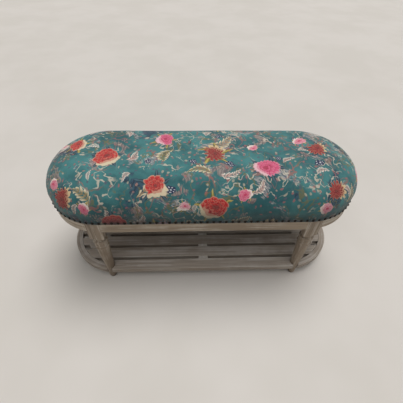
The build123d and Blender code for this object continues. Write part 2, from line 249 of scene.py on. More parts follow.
def nail_heads():
    """Domed nail heads in one row: each is a quarter of a flattened circle spun round the nail's axis."""
    radius = BAND_RADIUS + NAIL_CLEARANCE
    side, bend = 2 * END_CENTRE, pi * radius
    along = np.arange(NAIL_COUNT) / NAIL_COUNT * 2 * (side + bend)
    far = np.where(along >= side + bend, -1.0, 1.0)[:, None]
    along = along % (side + bend)
    angle = np.clip((along - side) / radius, 0, None) - pi / 2
    level = np.zeros_like(along)
    outward = np.stack([np.cos(angle), np.sin(angle), level], axis=-1)
    foot = np.stack([np.minimum(along, side) - END_CENTRE, level, level], axis=-1)
    seat = (foot + outward * radius) * far
    outward = outward * far
    seat[:, 2] = HEM + NAIL_ABOVE_HEM + NAIL_RADIUS
    up = np.array([0, 0, 1.0])
    across = np.cross(up, outward)
    wide = NAIL_RADIUS * np.cos(NAIL_RINGS * pi / 2 * NAIL_CROWN)[:, None]
    tall = NAIL_DOME * np.sin(NAIL_RINGS * pi / 2)
    spin = np.arange(NAIL_SIDES) / NAIL_SIDES * 2 * pi
    head = (
        across[:, None, None] * (wide * np.cos(spin))[None, :, :, None]
        + up * (wide * np.sin(spin))[None, :, :, None]
        + outward[:, None, None] * tall[None, :, None, None]
    )
    rings = len(NAIL_RINGS)
    one = net_faces(rings, NAIL_SIDES, wrap=True)[..., ::-1].reshape(-1, 4)
    first = np.arange(NAIL_COUNT)[:, None, None] * rings * NAIL_SIDES
    tops = np.arange(NAIL_SIDES)[None] + first[:, 0] + NAIL_SIDES * (rings - 1)
    return surface("nail_heads", seat[:, None, None] + head, one[None] + first, extra=tops.tolist())


# Wooden pieces with eased edges

EASE = 0.0009
SHORT_EDGE = 0.0025
NEAR_LEG = 0.024
MERGE_DISTANCE = 1e-6
FLAT_WITHIN, SHARP_FROM = radians(1.0), radians(30)


def eased(node, board):
    """Copy of a wooden CAD piece: triangles joined into plain faces, long edges eased by a small bevel.

    The bevel takes the second finish, a worn edge, and leaves out other pieces' edges beside a leg. Each
    point carries the board's number for the grain.
    """
    title = f"{node}_eased"
    mesh = nodes[node].data.copy()
    mesh.name = title
    work = bmesh.new()
    work.from_mesh(mesh)
    bmesh.ops.remove_doubles(work, verts=work.verts, dist=MERGE_DISTANCE)
    bmesh.ops.dissolve_limit(work, angle_limit=FLAT_WITHIN, verts=work.verts, edges=work.edges)
    work.to_mesh(mesh)
    work.free()
    mesh.polygons.foreach_set("use_smooth", np.full(len(mesh.polygons), True))
    mesh.set_sharp_from_angle(angle=SHARP_FROM)
    points = np.empty(len(mesh.vertices) * 3)
    mesh.vertices.foreach_get("co", points)
    points = points.reshape(-1, 3)
    ends = np.empty(len(mesh.edges) * 2, dtype=np.int64)
    mesh.edges.foreach_get("vertices", ends)
    first, second = points[ends[::2]], points[ends[1::2]]
    middle = np.abs(first + second) / 2
    from_leg = np.hypot(middle[:, 0] - LEG_X, middle[:, 1] - LEG_Y)
    sharp = np.zeros(len(mesh.edges), dtype=bool)
    mesh.attributes["sharp_edge"].data.foreach_get("value", sharp)
    worn = sharp & (np.linalg.norm(first - second, axis=1) > SHORT_EDGE)
    if not node.endswith("_leg"):
        worn &= from_leg > NEAR_LEG
    weight = mesh.attributes.new("bevel_weight_edge", "FLOAT", "EDGE")
    weight.data.foreach_set("value", worn.astype(float))
    number = mesh.attributes.new("board", "FLOAT", "POINT")
    number.data.foreach_set("value", np.full(len(mesh.vertices), board))
    piece = bpy.data.objects.new(title, mesh)
    bpy.context.scene.collection.objects.link(piece)
    edge = piece.modifiers.new("eased edges", "BEVEL")
    edge.width = EASE
    edge.segments = 2
    edge.limit_method = "WEIGHT"
    edge.use_clamp_overlap = False
    edge.harden_normals = True
    edge.material = 1
    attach(piece, "root")
    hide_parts(node)
    return piece


# Shader helpers


def fill(tree, made, sockets):
    """Fill a node's sockets, each with a value or a link."""
    for name, value in sockets.items():
        if isinstance(value, bpy.types.NodeSocket):
            tree.links.new(value, made.inputs[name])
        else:
            made.inputs[name].default_value = value


def put(tree, kind, sockets=None, **settings):
    """New node in a tree, with its settings and its sockets filled."""
    made = tree.nodes.new(kind)
    for name, value in settings.items():
        setattr(made, name, value)
    fill(tree, made, sockets or {})
    return made


def calc(tree, operation, *values):
    """Result of a maths node."""
    return put(tree, "ShaderNodeMath", dict(enumerate(values)), operation=operation).outputs[0]


def place(tree, operation, *values):
    """Result of a vector maths node: a vector, or a number for a length."""
    made = put(tree, "ShaderNodeVectorMath", dict(enumerate(values)), operation=operation)
    return made.outputs["Value" if operation == "LENGTH" else "Vector"]


def joined(tree, x, y, z=0.0):
    """Vector from three numbers."""
    return put(tree, "ShaderNodeCombineXYZ", {"X": x, "Y": y, "Z": z}).outputs[0]


def parted(tree, vector):
    """The three numbers of a vector."""
    return put(tree, "ShaderNodeSeparateXYZ", {"Vector": vector}).outputs


def turned(tree, vector, angle):
    """Vector turned about Z."""
    sockets = {"Vector": vector, "Angle": angle}
    return put(tree, "ShaderNodeVectorRotate", sockets, rotation_type="Z_AXIS").outputs[0]


def step(tree, value, low, high):
    """Smooth rise from 0 at low to 1 at high."""
    made = put(tree, "ShaderNodeMapRange", {"Value": value, "From Min": low, "From Max": high})
    made.interpolation_type = "SMOOTHSTEP"
    return made.outputs["Result"]


def part_step(tree, share, value, low, high):
    """Smooth rise from 0 at low to a share at high."""
    return calc(tree, "MULTIPLY", step(tree, value, low, high), share)


def inside(tree, reach):
    """1 inside a motif's edge, where the reach is 1, and 0 outside it, with a narrow soft rim."""
    return step(tree, reach, 1.03, 0.95)


def mixed(tree, share, first, second):
    """Colour between two others."""
    made = put(tree, "ShaderNodeMix", {0: share, 6: first, 7: second}, data_type="RGBA")
    return made.outputs[2]


def noise(tree, where, scale, detail=2.0, rough=0.5, dimensions="3D", output="Fac"):
    """Noise at a place: a value, or a colour for three values."""
    sockets = {"Vector": where, "Scale": scale, "Detail": detail, "Roughness": rough}
    return put(tree, "ShaderNodeTexNoise", sockets, noise_dimensions=dimensions).outputs[output]


def new_group(name, inputs, outputs):
    """Empty shader group with named sockets: its tree, the sockets it is given and those it fills."""
    tree = bpy.data.node_groups.new(name, "ShaderNodeTree")
    for title, kind in inputs.items():
        tree.interface.new_socket(name=title, in_out="INPUT", socket_type="NodeSocket" + kind)
    for title, kind in outputs.items():
        tree.interface.new_socket(name=title, in_out="OUTPUT", socket_type="NodeSocket" + kind)
    return tree, tree.nodes.new("NodeGroupInput").outputs, tree.nodes.new("NodeGroupOutput").inputs


def use(tree, group, sockets):
    """One use of a shader group in a tree."""
    made = tree.nodes.new("ShaderNodeGroup")
    made.node_tree = group
    fill(tree, made, sockets)
    return made.outputs


def finish_of(name):
    """New material with its tree and its main shader."""
    made = bpy.data.materials.new(name)
    made.use_nodes = True
    return made, made.node_tree, made.node_tree.nodes["Principled BSDF"]


def object_place(tree):
    """Place on the piece in the bench's own frame."""
    return put(tree, "ShaderNodeTexCoord").outputs["Object"]


def rgb(red, green, blue):
    """Colour as it looks on a screen, 0 to 255, in the linear values that shaders use."""
    share = np.array([red, green, blue]) / 255
    linear = np.where(share <= 0.04045, share / 12.92, ((share + 0.055) / 1.055) ** 2.4)
    return (*linear.tolist(), 1.0)


# Print of the cloth: groups that each lay one kind of motif over the ground

MIDDLE = (0.5, 0.5, 0.5)
SPARE_CHANCE = (41.3, 7.9, 3.1)
LEAVES = 5
BERRY_DOTS = 7.0

# Rings of petals: size, offset of the bearing and paleness of the rim
PETAL_RINGS = ((1.0, 0.0, 1.0), (0.70, 1.5, 0.5), (0.40, 0.6, 0.35))


def scatter_group():
    """Scattered motifs: one in each cell of a leaning brick layout, moved and turned by the cell's chances.

    Gives the way from the motif's middle, a turn and three chances between 0 and 1.
    """
    inputs = {"Cloth": "Vector", "Cell": "Float", "Shift": "Vector", "Lean": "Float", "Loose": "Float"}
    outputs = {"Away": "Vector", "Turn": "Float", "First": "Float", "Second": "Float", "Third": "Float"}
    tree, given, made = new_group("scatter", inputs, outputs)
    leaning = place(tree, "ADD", turned(tree, given["Cloth"], given["Lean"]), given["Shift"])
    parts = parted(tree, place(tree, "DIVIDE", leaning, joined(tree, given["Cell"], given["Cell"], 1.0)))
    row = calc(tree, "FLOOR", parts["Y"])
    brick = calc(tree, "MULTIPLY_ADD", calc(tree, "MODULO", row, 2.0), 0.5, parts["X"])
    where = joined(tree, brick, parts["Y"])
    cell = place(tree, "FLOOR", where)
    chance = put(tree, "ShaderNodeTexWhiteNoise", {"Vector": place(tree, "ADD", cell, given["Shift"])})
    spare = put(tree, "ShaderNodeTexWhiteNoise", {"Vector": place(tree, "ADD", cell, SPARE_CHANCE)})
    moved = place(tree, "SUBTRACT", chance.outputs["Color"], MIDDLE)
    moved = place(tree, "MULTIPLY", moved, joined(tree, given["Loose"], given["Loose"]))
    away = place(tree, "SUBTRACT", place(tree, "SUBTRACT", where, cell), (0.5, 0.5, 0.0))
    away = place(tree, "SUBTRACT", away, moved)
    away = place(tree, "MULTIPLY", away, joined(tree, given["Cell"], given["Cell"]))
    tree.links.new(away, made["Away"])
    tree.links.new(calc(tree, "MULTIPLY", spare.outputs["Value"], 2 * pi), made["Turn"])
    picks = put(tree, "ShaderNodeSeparateColor", {"Color": spare.outputs["Color"]}).outputs
    for title, pick in zip(("First", "Second", "Third"), picks):
        tree.links.new(pick, made[title])
    return tree


def motif(name, extra):
    """Group with the sockets that every motif has, and the reach, bearing and place across the motif."""
    inputs = {"Ground": "Color", "Away": "Vector", "Size": "Float", "Turn": "Float"}
    tree, given, made = new_group(name, {**inputs, **extra}, {"Color": "Color"})
    parts = parted(tree, turned(tree, given["Away"], given["Turn"]))
    reach = calc(tree, "DIVIDE", place(tree, "LENGTH", given["Away"]), given["Size"])
    bearing = calc(tree, "ARCTAN2", parts["Y"], parts["X"])
    x = calc(tree, "DIVIDE", parts["X"], given["Size"])
    y = calc(tree, "DIVIDE", parts["Y"], given["Size"])
    return tree, given, made, reach, bearing, x, y


def blossom_group():
    """Blossom over pointed leaves, with three rings of petals.

    A leaf's edge is a square of a saw-tooth of the bearing, a petal's a power of a sine of the bearing.
    Noise bends the bearing and dabs the colour, and one side of the outer ring is pale. The light strokes
    on the petals are a noise of the bearing and the reach.
    """
    shape = {"Petals": "Float", "Notch": "Float", "Sharp": "Float", "Leafy": "Float"}
    colours = {"Petal": "Color", "Deep": "Color", "Rim": "Color", "Leaf": "Color", "Vein": "Color"}
    tree, given, made, reach, bearing, x, y = motif("blossom", {**shape, **colours})
    dab = noise(tree, given["Away"], 95.0, 3.0, 0.6, "2D")
    tooth = calc(tree, "PINGPONG", calc(tree, "MULTIPLY", bearing, LEAVES / pi), 1.0)
    edge = calc(tree, "MULTIPLY_ADD", calc(tree, "MULTIPLY", tooth, tooth), given["Leafy"], 0.5)
    leaf = mixed(tree, step(tree, tooth, 0.86, 0.97), given["Leaf"], given["Vein"])
    colour = mixed(tree, inside(tree, calc(tree, "DIVIDE", reach, edge)), given["Ground"], leaf)
    swing = calc(tree, "MULTIPLY", bearing, calc(tree, "MULTIPLY", given["Petals"], 0.5))
    swing = calc(tree, "MULTIPLY_ADD", dab, 2.2, swing)
    light = step(tree, calc(tree, "MULTIPLY_ADD", y, 0.5, x), 0.25, 0.75)
    spread = calc(tree, "MULTIPLY_ADD", light, -0.10, reach)
    polar = joined(tree, calc(tree, "MULTIPLY", bearing, 8.0), calc(tree, "MULTIPLY", reach, 5.0))
    brushed = part_step(tree, 0.24, noise(tree, polar, 1.0, 2.0, 0.6, "2D"), 0.54, 0.62)
    for size, offset, rim in PETAL_RINGS:
        lobe = calc(tree, "ABSOLUTE", calc(tree, "SINE", calc(tree, "ADD", swing, offset)))
        dent = calc(tree, "SUBTRACT", 1.0, calc(tree, "POWER", lobe, given["Sharp"]))
        left = calc(tree, "SUBTRACT", 1.0, calc(tree, "MULTIPLY", dent, given["Notch"]))
        share = calc(tree, "DIVIDE", spread, calc(tree, "MULTIPLY", left, size))
        dabbed = calc(tree, "MULTIPLY_ADD", dab, 0.7, share)
        petal = mixed(tree, step(tree, dabbed, 0.75, 1.25), given["Deep"], given["Petal"])
        pale = part_step(tree, rim, calc(tree, "MULTIPLY_ADD", light, 0.32, share), 0.86, 1.08)
        petal = mixed(tree, calc(tree, "MAXIMUM", pale, brushed), petal, given["Rim"])
        colour = mixed(tree, inside(tree, share), colour, petal)
    tree.links.new(colour, made["Color"])
    return tree


def sprig_group():
    """Leafy sprig: pairs of leaves along a bent stem, longest at its middle and slanted to its tip.

    The stem is a parabola, and a leaf's half width is a parabola of the way out along it.
    """
    tree, given, made, reach, _, x, y = motif("sprig", {"Leaf": "Color", "Tip": "Color"})
    square = calc(tree, "MULTIPLY", x, x)
    off = calc(tree, "ABSOLUTE", calc(tree, "MULTIPLY_ADD", square, -0.45, calc(tree, "ADD", y, 0.15)))
    length = calc(tree, "MAXIMUM", calc(tree, "MULTIPLY_ADD", square, -0.5, 0.5), 0.02)
    out = calc(tree, "DIVIDE", off, length)
    beat = calc(tree, "MULTIPLY", calc(tree, "MULTIPLY_ADD", off, -0.8, x), 7.0)
    beat = calc(tree, "PINGPONG", beat, 1.0)
    wide = calc(tree, "MULTIPLY", calc(tree, "MULTIPLY", out, calc(tree, "SUBTRACT", 1.0, out)), 3.4)
    leaf = step(tree, calc(tree, "SUBTRACT", beat, wide), 0.05, -0.10)
    shape = calc(tree, "MAXIMUM", leaf, step(tree, off, 0.04, 0.02))
    shape = calc(tree, "MULTIPLY", shape, step(tree, reach, 1.05, 0.97))
    tint = mixed(tree, step(tree, out, 0.2, 0.8), given["Leaf"], given["Tip"])
    tree.links.new(mixed(tree, shape, given["Ground"], tint), made["Color"])
    return tree


def berry_group():
    """Berry: a dark disc with a ring of pale dots and a pale middle."""
    tree, given, made, reach, bearing, _, _ = motif("berry", {"Skin": "Color", "Dots": "Color"})
    around = calc(tree, "COSINE", calc(tree, "MULTIPLY", bearing, BERRY_DOTS))
    ring = calc(tree, "MULTIPLY", step(tree, reach, 0.45, 0.58), step(tree, reach, 0.84, 0.72))
    dots = calc(tree, "MULTIPLY", ring, step(tree, around, 0.0, 0.6))
    dots = calc(tree, "MAXIMUM", dots, step(tree, reach, 0.26, 0.14))
    skin = mixed(tree, dots, given["Skin"], given["Dots"])
    tree.links.new(mixed(tree, step(tree, reach, 1.02, 0.92), given["Ground"], skin), made["Color"])
    return tree


def feather_group():
    """Feathered patches: where a broad noise is high, streaks of two tones from a stretched noise."""
    inputs = {"Ground": "Color", "Cloth": "Vector", "Scale": "Float", "Turn": "Float"}
    shades = {"First": "Color", "Second": "Color", "Strength": "Float"}
    tree, given, made = new_group("feathers", {**inputs, **shades}, {"Color": "Color"})
    field = noise(tree, given["Cloth"], given["Scale"], 3.0, 0.55, "2D")
    stretched = place(tree, "MULTIPLY", turned(tree, given["Cloth"], given["Turn"]), (45.0, 260.0, 1.0))
    streak = noise(tree, stretched, 1.0, 2.0, 0.6, "2D")
    tone = mixed(tree, step(tree, streak, 0.42, 0.58), given["First"], given["Second"])
    ragged = calc(tree, "MULTIPLY_ADD", streak, 0.12, field)
    share = part_step(tree, given["Strength"], ragged, 0.685, 0.735)
    tree.links.new(mixed(tree, share, given["Ground"], tone), made["Color"])
    return tree


def stroke_group():
    """Brush strokes: where one noise crosses its middle value, within the patches of a broader noise."""
    inputs = {"Ground": "Color", "Cloth": "Vector", "Scale": "Float", "Width": "Float"}
    tree, given, made = new_group(
        "strokes", {**inputs, "Tone": "Color", "Strength": "Float"}, {"Color": "Color"}
    )
    field = noise(tree, given["Cloth"], given["Scale"], 2.0, 0.5, "2D")
    off = calc(tree, "ABSOLUTE", calc(tree, "SUBTRACT", field, 0.5))
    line = step(tree, calc(tree, "DIVIDE", off, given["Width"]), 1.0, 0.45)
    broad = noise(tree, given["Cloth"], calc(tree, "MULTIPLY", given["Scale"], 0.5), 1.0, 0.5, "2D")
    share = calc(tree, "MULTIPLY", line, step(tree, broad, 0.47, 0.56))
    share = calc(tree, "MULTIPLY", share, given["Strength"])
    tree.links.new(mixed(tree, share, given["Ground"], given["Tone"]), made["Color"])
    return tree


def weave_group():
    """Plain weave: threads across and along as two sines, with a slub from noise."""
    outputs = {"Height": "Float", "Shade": "Float"}
    tree, given, made = new_group("weave", {"Cloth": "Vector", "Thread": "Float"}, outputs)
    parts = parted(tree, given["Cloth"])
    turns = calc(tree, "DIVIDE", 2 * pi, given["Thread"])
    warp = calc(tree, "SINE", calc(tree, "MULTIPLY", parts["X"], turns))
    weft = calc(tree, "SINE", calc(tree, "MULTIPLY", parts["Y"], turns))
    tree.links.new(calc(tree, "MULTIPLY", warp, weft), made["Height"])
    tree.links.new(noise(tree, given["Cloth"], 420.0, 2.0), made["Shade"])
    return tree


scatter = scatter_group()
stroke = stroke_group()
weave = weave_group()
blossom = blossom_group()
sprig = sprig_group()
berry = berry_group()
feathers = feather_group()

TEAL, PALE_TEAL = rgb(32, 92, 98), rgb(70, 138, 140)
CHALK, CHALK_TIP, DUSTY_ROSE = rgb(214, 206, 196), rgb(238, 232, 220), rgb(196, 150, 140)
INK, MIST = rgb(24, 34, 74), rgb(206, 212, 216)
OLIVE, TAN, OAT = rgb(124, 122, 58), rgb(170, 140, 120), rgb(230, 218, 186)
CREAM, SHELL = rgb(232, 216, 184), rgb(250, 236, 226)
RED, DEEP_RED = rgb(204, 40, 42), rgb(138, 16, 30)
PINK, DEEP_PINK, PALE_PINK = rgb(226, 92, 136), rgb(176, 26, 74), rgb(246, 200, 208)
HOT_PINK = rgb(206, 34, 92)
CRIMSON, DARK_CRIMSON, STRAW = rgb(158, 24, 38), rgb(116, 8, 26), rgb(226, 200, 156)
NAVY_LEAF, NAVY_VEIN = rgb(30, 52, 66), rgb(70, 104, 116)
OLIVE_LEAF, OLIVE_VEIN = rgb(112, 106, 52), rgb(196, 176, 100)
FLECK_TONES = (rgb(198, 186, 166), rgb(176, 104, 104), rgb(92, 88, 110))
# The second colour is the dark teal of the painted shade laid towards the hem
THREAD_SHADE, HEM_SHADE = rgb(24, 34, 38), rgb(8, 24, 28)
THREAD = 0.0016
HEM_SHADE_HEIGHT = 0.105
TURNING_LOW, TURNING_HIGH = 0.010, 0.017

# Noises that make the print look drawn by hand: scale, detail and how far they move it
WANDERS = ((45.0, 2.0, 0.010), (15.0, 0.0, 0.026))

# Feathered patches: scale, shift, turn, two tones and strength
PATCHES = (
    (12.0, (1.7, 6.1, 0), 0.5, rgb(112, 112, 124), rgb(200, 192, 190), 0.65),
    (9.0, (4.4, 0.8, 0), -0.7, rgb(20, 38, 64), rgb(50, 84, 104), 0.9),
    (14.0, (7.9, 3.3, 0), 1.4, rgb(140, 96, 96), rgb(196, 164, 154), 0.55),
)

# Brush strokes: scale, shift, width, tone and strength
STROKES = (
    (13.0, (3.1, 1.7, 0), 0.020, rgb(164, 104, 96), 0.7),
    (18.0, (5.3, 8.2, 0), 0.021, rgb(218, 208, 190), 0.8),
    (14.0, (9.4, 2.6, 0), 0.022, rgb(116, 110, 70), 0.7),
)


def scattered(tree, cloth, cell, shift, lean, loose, keep):
    """A scatter's way and turn, its chances, and 1 or nearly 0 for whether its motif is kept."""
    spots = use(tree, scatter, {"Cloth": cloth, "Cell": cell, "Shift": shift, "Lean": lean, "Loose": loose})
    kept = calc(tree, "MAXIMUM", calc(tree, "LESS_THAN", spots["Third"], keep), 0.001)
    return spots, kept


def sized(tree, kept, chance, least, spare):
    """Size of a motif: the least one and a chance of the spare, or nearly 0 where it isn't kept."""
    return calc(tree, "MULTIPLY", kept, calc(tree, "MULTIPLY_ADD", chance, spare, least))


def laid(tree, group, ground, spots, size, **values):
    """Colour after a motif group is laid over the ground at a scatter's spots."""
    sockets = {"Ground": ground, "Away": spots["Away"], "Size": size, "Turn": spots["Turn"]}
    return use(tree, group, {**sockets, **values})["Color"]


def pale_sprigs(tree, cloth, ground):
    """Small chalky sprigs, some of them rosy."""
    spots, kept = scattered(tree, cloth, cell=0.118, shift=(0.31, 0.17, 0), lean=0.3, loose=0.4, keep=0.55)
    size = sized(tree, kept, spots["First"], least=0.018, spare=0.014)
    leaf = mixed(tree, spots["Second"], CHALK, DUSTY_ROSE)
    return laid(tree, sprig, ground, spots, size, Leaf=leaf, Tip=CHALK_TIP)


def berries(tree, cloth, ground):
    """Dark berries of one size."""
    spots, kept = scattered(tree, cloth, cell=0.137, shift=(0.73, 0.41, 0), lean=1.2, loose=0.5, keep=0.45)
    size = calc(tree, "MULTIPLY", kept, 0.0125)
    return laid(tree, berry, ground, spots, size, Skin=INK, Dots=MIST)


def leafy_sprigs(tree, cloth, ground):
    """Large sprigs from olive to tan."""
    spots, kept = scattered(tree, cloth, cell=0.183, shift=(0.086, 0.0, 0), lean=0.9, loose=0.35, keep=0.7)
    size = sized(tree, kept, spots["Second"], least=0.034, spare=0.014)
    leaf = mixed(tree, spots["First"], OLIVE, TAN)
    return laid(tree, sprig, ground, spots, size, Leaf=leaf, Tip=OAT)


def small_blossoms(tree, cloth, ground):
    """Small blossoms from pale to full pink."""
    spots, kept = scattered(tree, cloth, cell=0.186, shift=(0.43, 0.172, 0), lean=0.7, loose=0.35, keep=0.6)
    size = sized(tree, kept, spots["Second"], least=0.016, spare=0.008)
    shape = {"Petals": 8.0, "Notch": 0.2, "Sharp": 0.5, "Leafy": 0.9}
    shades = {"Petal": mixed(tree, spots["First"], PALE_PINK, PINK), "Deep": HOT_PINK, "Rim": SHELL}
    leaves = {"Leaf": OLIVE_LEAF, "Vein": OLIVE_VEIN}
    return laid(tree, blossom, ground, spots, size, **shape, **shades, **leaves)


def large_blossoms(tree, cloth, ground):
    """Large blossoms of three kinds by chance: round red, full pink and star-shaped crimson."""
    spots, kept = scattered(tree, cloth, cell=0.205, shift=(0.05, 0.09, 0), lean=0.48, loose=0.32, keep=0.9)
    size = sized(tree, kept, spots["Second"], least=0.036, spare=0.009)
    pink = calc(tree, "GREATER_THAN", spots["First"], 0.40)
    star = calc(tree, "GREATER_THAN", spots["First"], 0.72)
    navy = calc(tree, "GREATER_THAN", spots["Third"], 0.4)
    shape = {
        "Petals": calc(tree, "MULTIPLY_ADD", star, -9.0, calc(tree, "MULTIPLY_ADD", pink, 13.0, 9.0)),
        "Notch": calc(tree, "MULTIPLY_ADD", star, 0.26, 0.16),
        "Sharp": calc(tree, "MULTIPLY_ADD", star, 0.5, 0.6),
        "Leafy": 1.05,
    }
    shades = {
        "Petal": mixed(tree, star, mixed(tree, pink, RED, PINK), CRIMSON),
        "Deep": mixed(tree, star, mixed(tree, pink, DEEP_RED, DEEP_PINK), DARK_CRIMSON),
        "Rim": mixed(tree, star, mixed(tree, pink, CREAM, PALE_PINK), STRAW),
        "Leaf": mixed(tree, navy, OLIVE_LEAF, NAVY_LEAF),
        "Vein": mixed(tree, navy, OLIVE_VEIN, NAVY_VEIN),
    }
    return laid(tree, blossom, ground, spots, size, **shades, **shape)


def drawn_by_hand(tree, uv):
    """Cloth place moved a little by a fine and a broad noise."""
    where = uv
    for scale, detail, far in WANDERS:
        wander = noise(tree, uv, scale, detail, dimensions="2D", output="Color")
        wander = place(tree, "SUBTRACT", wander, MIDDLE)
        where = place(tree, "MULTIPLY_ADD", wander, (far, far, 0.0), where)
    return where


def flecked(tree, cloth, ground):
    """Ground with small dots at the middles of some Voronoi cells, in three tones by chance."""
    fleck = put(tree, "ShaderNodeTexVoronoi", {"Vector": cloth, "Scale": 64.0}, voronoi_dimensions="2D")
    chance = put(tree, "ShaderNodeSeparateColor", {"Color": fleck.outputs["Color"]}).outputs
    dot = step(tree, fleck.outputs["Distance"], 0.32, 0.18)
    dot = calc(tree, "MULTIPLY", dot, step(tree, chance[0], 0.62, 0.67))
    first, second, third = FLECK_TONES
    tint = mixed(tree, step(tree, chance[1], 0.4, 0.6), first, second)
    tint = mixed(tree, step(tree, chance[2], 0.6, 0.7), tint, third)
    return mixed(tree, calc(tree, "MULTIPLY", dot, 0.7), ground, tint)


def cloudy_ground(tree, cloth):
    """Teal ground that pales in clouds, with feathered patches, brush strokes and flecks."""
    cloud = noise(tree, cloth, 7.0, 4.0, 0.6, "2D")
    ground = mixed(tree, step(tree, cloud, 0.33, 0.68), TEAL, PALE_TEAL)
    for scale, shift, turn, first, second, strength in PATCHES:
        sockets = {"Ground": ground, "Cloth": place(tree, "ADD", cloth, shift), "Scale": scale, "Turn": turn}
        sockets.update(First=first, Second=second, Strength=strength)
        ground = use(tree, feathers, sockets)["Color"]
    for scale, shift, width, tone, strength in STROKES:
        sockets = {"Ground": ground, "Cloth": place(tree, "ADD", cloth, shift), "Scale": scale}
        sockets.update(Width=width, Tone=tone, Strength=strength)
        ground = use(tree, stroke, sockets)["Color"]
    return flecked(tree, cloth, ground)


def shaded_towards_hem(tree, colour):
    """Colour with painted shade that darkens it towards the hem, and more on the turning that is nailed
    down.
    """
    height = parted(tree, object_place(tree))["Z"]
    # Painted shade: darker towards the hem and darkest on the nailed turning
    painted_shade = part_step(tree, 0.80, height, HEM + HEM_SHADE_HEIGHT, HEM)
    turning = part_step(tree, 0.87, height, HEM + TURNING_HIGH, HEM + TURNING_LOW)
    return mixed(tree, calc(tree, "MAXIMUM", painted_shade, turning), colour, HEM_SHADE)


def printed_cloth():
    """Printed cotton: the ground, then the motifs from the small to the large, on a weave."""
    made, tree, shader = finish_of("printed cotton")
    uv = put(tree, "ShaderNodeUVMap", uv_map="cloth").outputs[0]
    cloth = drawn_by_hand(tree, uv)
    colour = cloudy_ground(tree, cloth)
    for motifs in (pale_sprigs, berries, leafy_sprigs, small_blossoms, large_blossoms):
        colour = motifs(tree, cloth, colour)
    threads = use(tree, weave, {"Cloth": uv, "Thread": THREAD})
    slub = part_step(tree, 0.16, threads["Shade"], 0.3, 0.7)
    # Painted shade towards the hem, laid over the print
    colour = shaded_towards_hem(tree, mixed(tree, slub, colour, THREAD_SHADE))
    tree.links.new(colour, shader.inputs["Base Color"])
    bump = put(tree, "ShaderNodeBump", {"Height": threads["Height"], "Strength": 0.12, "Distance": 0.0004})
    tree.links.new(bump.outputs[0], shader.inputs["Normal"])
    shader.inputs["Roughness"].default_value = 0.78
    shader.inputs["Sheen Weight"].default_value = 0.12
    return made


# Wood finishes

FIBRE_SCALE, BAND_SCALE, LIME_SCALE = (7.0, 150.0, 150.0), (2.2, 26.0, 26.0), (4.0, 105.0, 105.0)
BOARD_SHIFT = (0.37, 0.11, 0.23)


def grain_group():
    """Washed grain along X: fine fibres, broad bands and pale lime left in the pores, all stretched noise.

    The lime is thicker in clouds, and each board is a little darker by a chance of its own.
    """
    inputs = {"Place": "Vector", "Board": "Float", "Dark": "Color", "Mid": "Color", "Pale": "Color"}
    outputs = {"Color": "Color", "Height": "Float", "Rough": "Float"}
    tree, given, made = new_group("washed grain", inputs, outputs)
    apart = joined(tree, given["Board"], given["Board"], given["Board"])
    where = place(tree, "MULTIPLY_ADD", apart, BOARD_SHIFT, given["Place"])
    fibre = noise(tree, place(tree, "MULTIPLY", where, FIBRE_SCALE), 1.0, 4.0, 0.6)
    band = noise(tree, place(tree, "MULTIPLY", where, BAND_SCALE), 1.0, 3.0, 0.5)
    lime = noise(tree, place(tree, "MULTIPLY", where, LIME_SCALE), 1.0, 3.0, 0.55)
    cloud = noise(tree, where, 13.0, 3.0, 0.6)
    chance = put(tree, "ShaderNodeTexWhiteNoise", {"W": given["Board"]}, noise_dimensions="1D")
    chance = calc(tree, "MULTIPLY", chance.outputs["Value"], 0.22)
    colour = mixed(tree, step(tree, band, 0.3, 0.7), given["Dark"], given["Mid"])
    colour = mixed(tree, part_step(tree, 0.5, fibre, 0.52, 0.36), colour, given["Dark"])
    colour = mixed(tree, chance, colour, given["Dark"])
    wash = calc(tree, "MULTIPLY_ADD", cloud, 0.35, calc(tree, "MULTIPLY", lime, 0.65))
    colour = mixed(tree, part_step(tree, 0.7, wash, 0.46, 0.62), colour, given["Pale"])
    tree.links.new(colour, made["Color"])
    tree.links.new(fibre, made["Height"])
    tree.links.new(calc(tree, "MULTIPLY_ADD", lime, 0.25, 0.5), made["Rough"])
    return tree


def bend_group():
    """Place on a half-round end, unrolled: arc length, radius and height."""
    tree, given, made = new_group("unrolled end", {"Place": "Vector"}, {"Place": "Vector"})
    parts = parted(tree, given["Place"])
    past = calc(tree, "SUBTRACT", calc(tree, "ABSOLUTE", parts["X"]), END_CENTRE)
    arc = calc(tree, "MULTIPLY", calc(tree, "ARCTAN2", parts["Y"], past), END_RADIUS)
    radius = place(tree, "LENGTH", joined(tree, past, parts["Y"]))
    tree.links.new(joined(tree, arc, radius, parts["Z"]), made["Place"])
    return tree


grain = grain_group()
unrolled = bend_group()

# Tones of the woods: dark, middle and pale
WASHED = (rgb(138, 123, 106), rgb(172, 157, 138), rgb(198, 190, 177))
WORN = (rgb(168, 156, 140), rgb(192, 182, 168), rgb(214, 208, 198))
# Leg tones, darker than the washed ones though the wood is the same: painted shade on the legs
SHADED_LEG_TONES = (rgb(122, 108, 93), rgb(154, 139, 122), rgb(182, 171, 157))
SHADED_LEG_EDGE = (rgb(150, 137, 122), rgb(174, 163, 148), rgb(198, 190, 179))
LUG_TONES = (rgb(176, 170, 162), rgb(210, 204, 196), rgb(226, 222, 216))
# Shelf tones, paler than the washed ones though the wood is the same: painted light on the shelf
LIT_SHELF_TONES = (rgb(154, 142, 130), rgb(189, 178, 166), rgb(208, 202, 195))
LIT_SHELF_EDGE = (rgb(172, 162, 150), rgb(196, 188, 178), rgb(214, 210, 204))
RAW = (rgb(168, 134, 92), rgb(192, 158, 114), rgb(206, 176, 134))
PLY = (rgb(170, 138, 98), rgb(196, 164, 122), rgb(212, 184, 146))
# Dark tone of the painted shade on the sides of the shelf pieces
SIDE_SHADE_TONE = rgb(96, 84, 70)


